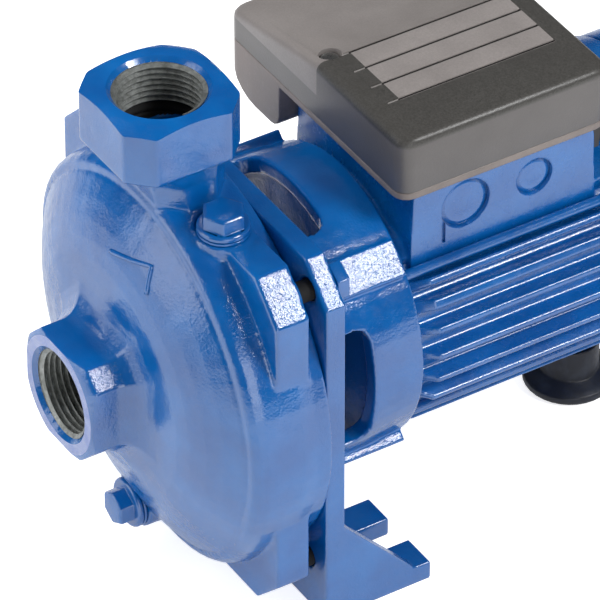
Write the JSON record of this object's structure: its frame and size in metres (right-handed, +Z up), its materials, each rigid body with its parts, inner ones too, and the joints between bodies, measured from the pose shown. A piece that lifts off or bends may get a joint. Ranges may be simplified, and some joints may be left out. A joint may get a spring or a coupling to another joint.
{
  "type": "close-coupled centrifugal pump",
  "caption": "Blue cast-iron close-coupled centrifugal pump with threaded suction and discharge ports, slotted feet, a finned motor and a dark plastic terminal box.",
  "frame": {"origin": "on the ground, under the shaft, in the middle of the bracket plate's bottom edge", "axes": "+Z up, +Y along the shaft from the pump to the motor, +X to the right seen from the suction port"},
  "size_m": [0.157, 0.2854, 0.2],
  "materials": {
    "blue_enamel": "glossy blue enamel over rough castings",
    "box_plastic": "satin dark grey-brown moulded plastic",
    "black_rubber": "matte black rubber",
    "zinc_steel": "zinc plated",
    "bare_steel": "turned steel",
    "black_plastic": "black moulded plastic"
  },
  "bodies": {
    "root": {"pump_casing": "blue_enamel", "filling_plug": "blue_enamel", "drain_plug": "blue_enamel", "motor_bracket": "blue_enamel", "flange_bolt_1": "blue_enamel", "flange_bolt_2": "blue_enamel", "flange_bolt_3": "blue_enamel", "flange_bolt_4": "blue_enamel", "motor_frame": "blue_enamel", "knockout_large": "blue_enamel", "knockout_small": "blue_enamel", "rear_shield": "blue_enamel", "fan_cover": "blue_enamel", "filling_plug_washer": "blue_enamel", "drain_plug_washer": "blue_enamel", "tie_rod_1": "blue_enamel", "tie_rod_2": "blue_enamel", "tie_rod_3": "blue_enamel", "tie_rod_4": "blue_enamel", "terminal_box_tray": "box_plastic", "terminal_box_lid": "box_plastic", "rear_foot": "black_rubber", "water_slinger": "black_rubber", "lid_screw_1": "zinc_steel", "lid_screw_2": "zinc_steel", "seal_plate": "bare_steel", "pump_shaft": "bare_steel", "cable_gland": "black_plastic", "cooling_fan": "black_plastic"}
  },
  "joints": []
}
